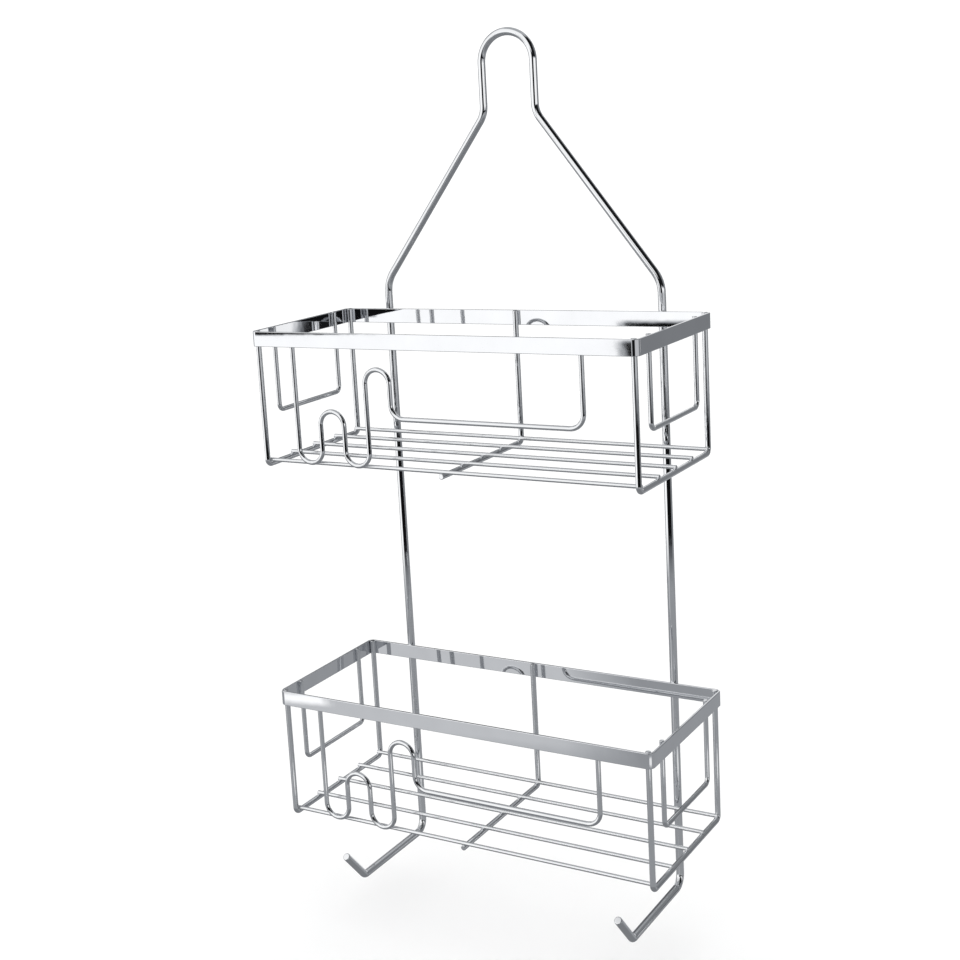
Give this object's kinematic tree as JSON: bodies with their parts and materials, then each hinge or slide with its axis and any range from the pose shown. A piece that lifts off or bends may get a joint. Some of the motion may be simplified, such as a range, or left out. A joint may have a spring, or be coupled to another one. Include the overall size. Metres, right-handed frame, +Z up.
{
  "type": "shower caddy",
  "caption": "Two-tier wire shower caddy that hangs over a shower arm: open baskets with flat rim bands, wavy front wires, and a pair of turned-up hooks below",
  "frame": {"origin": "the hanging point: the inner top of the crest, in the plane of the hanger wire, where the shower arm bears", "axes": "+X is to the right as seen from the front, +Y is towards the wall, and +Z is up"},
  "size_m": [0.26, 0.1148, 0.552],
  "materials": {
    "hanger_wire": "polished chrome plate",
    "rim_strip": "polished chrome plate",
    "basket_wire": "polished chrome plate"
  },
  "bodies": {
    "root": {"hanger_frame": "hanger_wire", "upper_rim_band": "rim_strip", "upper_left_end_hoop": "basket_wire", "upper_left_guard_loop": "basket_wire", "upper_right_end_hoop": "basket_wire", "upper_right_guard_loop": "basket_wire", "upper_centre_stay": "basket_wire", "upper_floor_wire_1": "basket_wire", "upper_floor_wire_2": "basket_wire", "upper_floor_wire_3": "basket_wire", "upper_floor_wire_4": "basket_wire", "upper_floor_wire_5": "basket_wire", "upper_front_wave_wire": "basket_wire", "lower_rim_band": "rim_strip", "lower_left_end_hoop": "basket_wire", "lower_left_guard_loop": "basket_wire", "lower_right_end_hoop": "basket_wire", "lower_right_guard_loop": "basket_wire", "lower_centre_stay": "basket_wire", "lower_floor_wire_1": "basket_wire", "lower_floor_wire_2": "basket_wire", "lower_floor_wire_3": "basket_wire", "lower_floor_wire_4": "basket_wire", "lower_floor_wire_5": "basket_wire", "lower_front_wave_wire": "basket_wire"}
  },
  "joints": []
}
